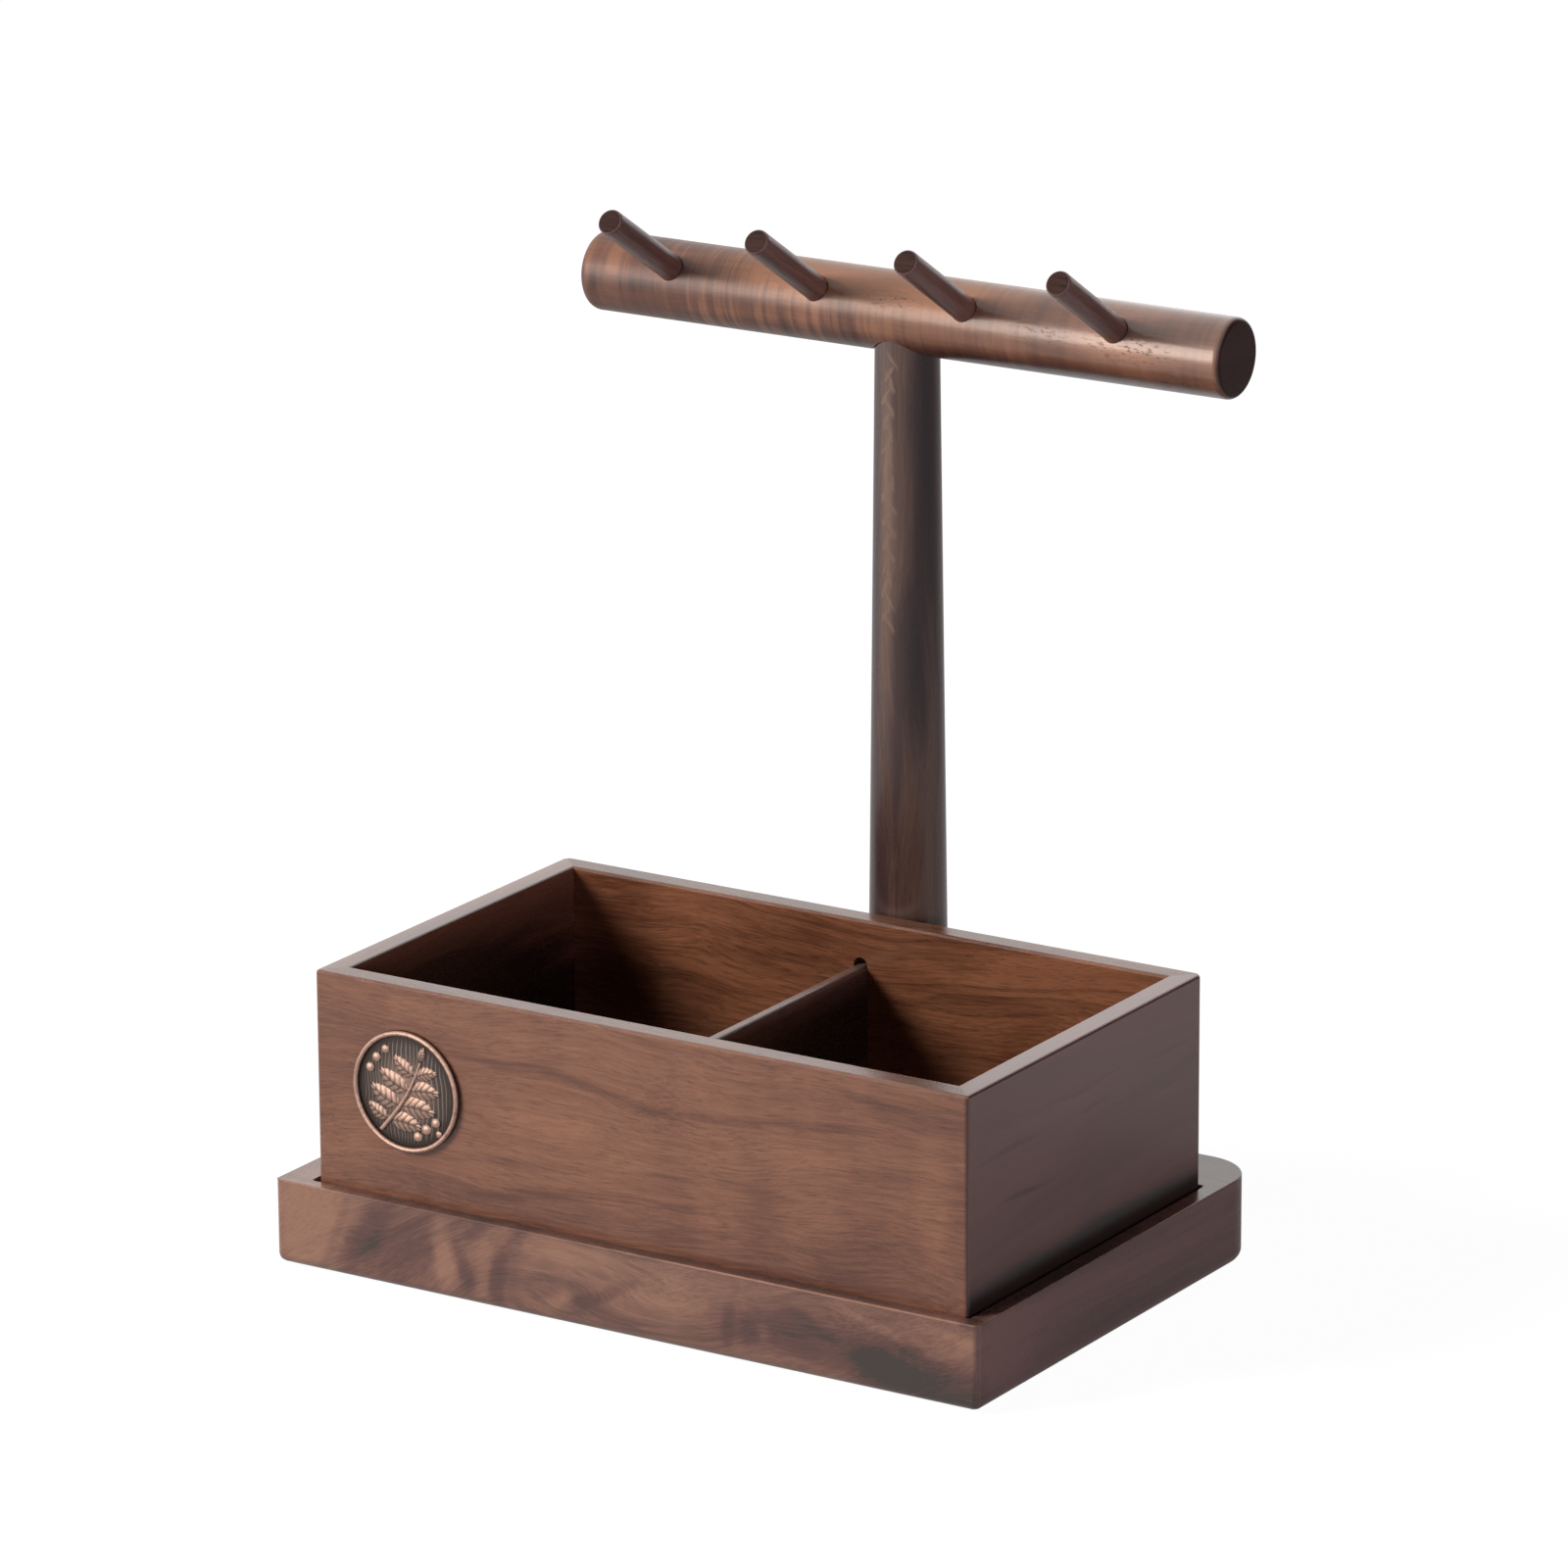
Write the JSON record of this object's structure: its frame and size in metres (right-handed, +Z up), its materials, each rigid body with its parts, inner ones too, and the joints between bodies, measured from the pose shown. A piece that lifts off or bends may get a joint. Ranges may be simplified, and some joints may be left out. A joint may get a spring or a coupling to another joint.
{
  "type": "desk organizer",
  "caption": "Walnut desk organizer: a divided open box in a recessed base, with a post and a crossbar of hanging pegs.",
  "frame": {"origin": "middle of the base's footprint, on the surface that the feet stand on", "axes": "+Z up; -Y is the front, with the medallion; +X is to the right seen from the front, along the crossbar"},
  "size_m": [0.2466, 0.165, 0.3091],
  "materials": {
    "walnut_base": "satin",
    "walnut_box": "satin",
    "walnut_post": "satin",
    "walnut_bar": "satin",
    "walnut_peg": "satin",
    "antique_copper": "antique",
    "screw_steel": "zinc plated",
    "foot_rubber": "matte"
  },
  "bodies": {
    "stand": {"base_slab": "walnut_base", "foot_front_left": "foot_rubber", "foot_front_right": "foot_rubber", "foot_back_left": "foot_rubber", "foot_back_right": "foot_rubber", "post": "walnut_post", "post_screw": "screw_steel", "crossbar": "walnut_bar", "peg_1": "walnut_peg", "peg_2": "walnut_peg", "peg_3": "walnut_peg", "peg_4": "walnut_peg"},
    "box": {"box_front_wall": "walnut_box", "box_back_wall": "walnut_box", "box_left_wall": "walnut_box", "box_right_wall": "walnut_box", "box_bottom_panel": "walnut_box", "box_divider": "walnut_box", "medallion": "antique_copper"}
  },
  "joints": [
    {"name": "box_lift", "type": "slide", "parent": "stand", "child": "box", "axis": [0, 0, 1], "range_m": [0, 0.1]}
  ]
}
